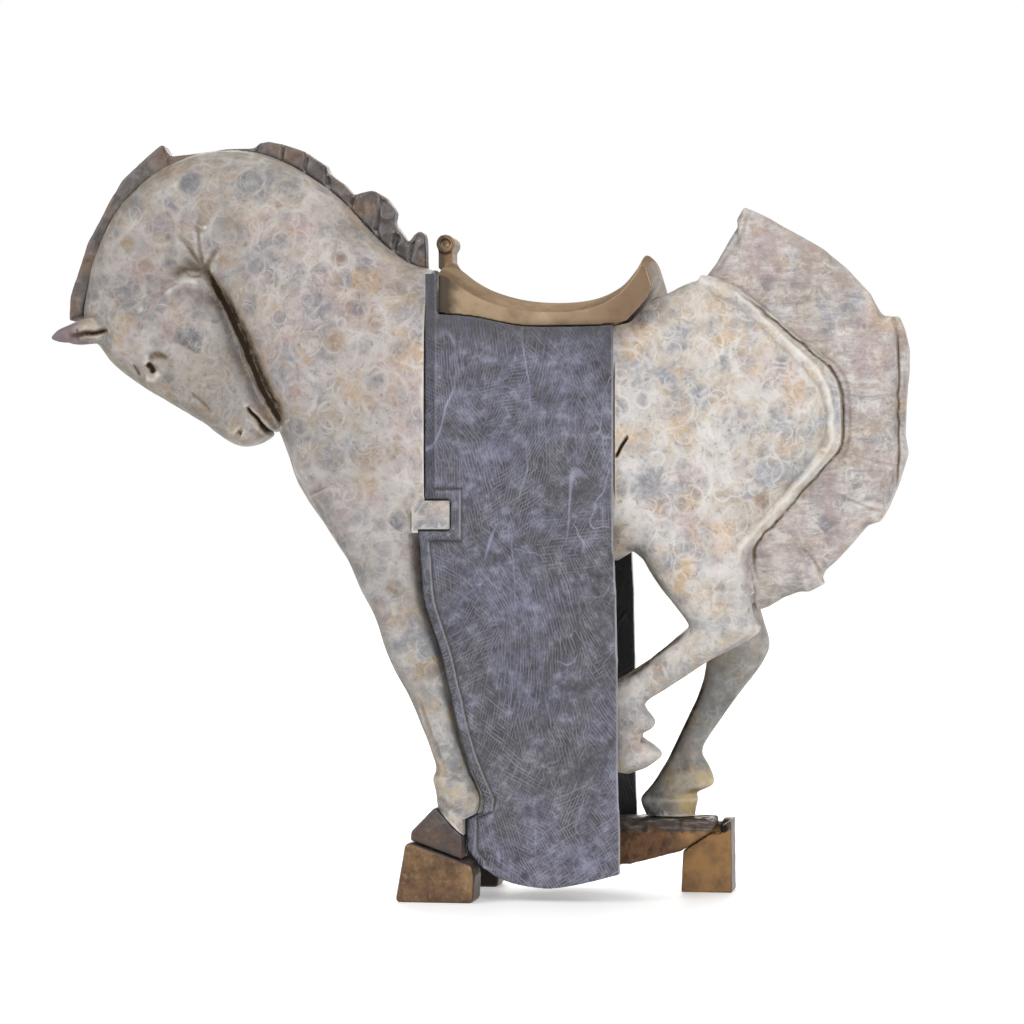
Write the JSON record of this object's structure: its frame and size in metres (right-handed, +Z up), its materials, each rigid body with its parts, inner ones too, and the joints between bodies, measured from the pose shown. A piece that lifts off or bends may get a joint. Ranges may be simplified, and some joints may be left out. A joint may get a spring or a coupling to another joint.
{
  "type": "bronze horse sculpture",
  "caption": "Cast bronze horse with its head bowed to the chest, a fan tail, flat cloth panels, a saddle with a pommel and small block feet; stands on a table or plinth.",
  "frame": {"origin": "on the ground, in the middle of the outline's bounding box", "axes": "+X towards the tail, -Y towards the side that the picture shows, +Z up"},
  "size_m": [0.6498, 0.144, 0.568],
  "materials": {
    "cream_patina": "mottled cream, grey and ochre patina on cast bronze, satin",
    "dark_patina": "dark brown-grey patina on cast bronze, satin",
    "blue_patina": "blue-grey patina with pale scratched lines, satin",
    "polished_bronze": "polished golden bronze, darker at the edges",
    "brown_bronze": "brown bronze, waxed, rough on top"
  },
  "bodies": {
    "root": {"horse": "cream_patina", "mane": "dark_patina", "blanket_near": "blue_patina", "blanket_far": "blue_patina", "saddle": "polished_bronze", "hoof_front_near": "dark_patina", "hoof_front_far": "dark_patina", "foot_front_near": "brown_bronze", "foot_front_far": "brown_bronze", "base_beam": "brown_bronze", "foot_rear": "brown_bronze"}
  },
  "joints": []
}
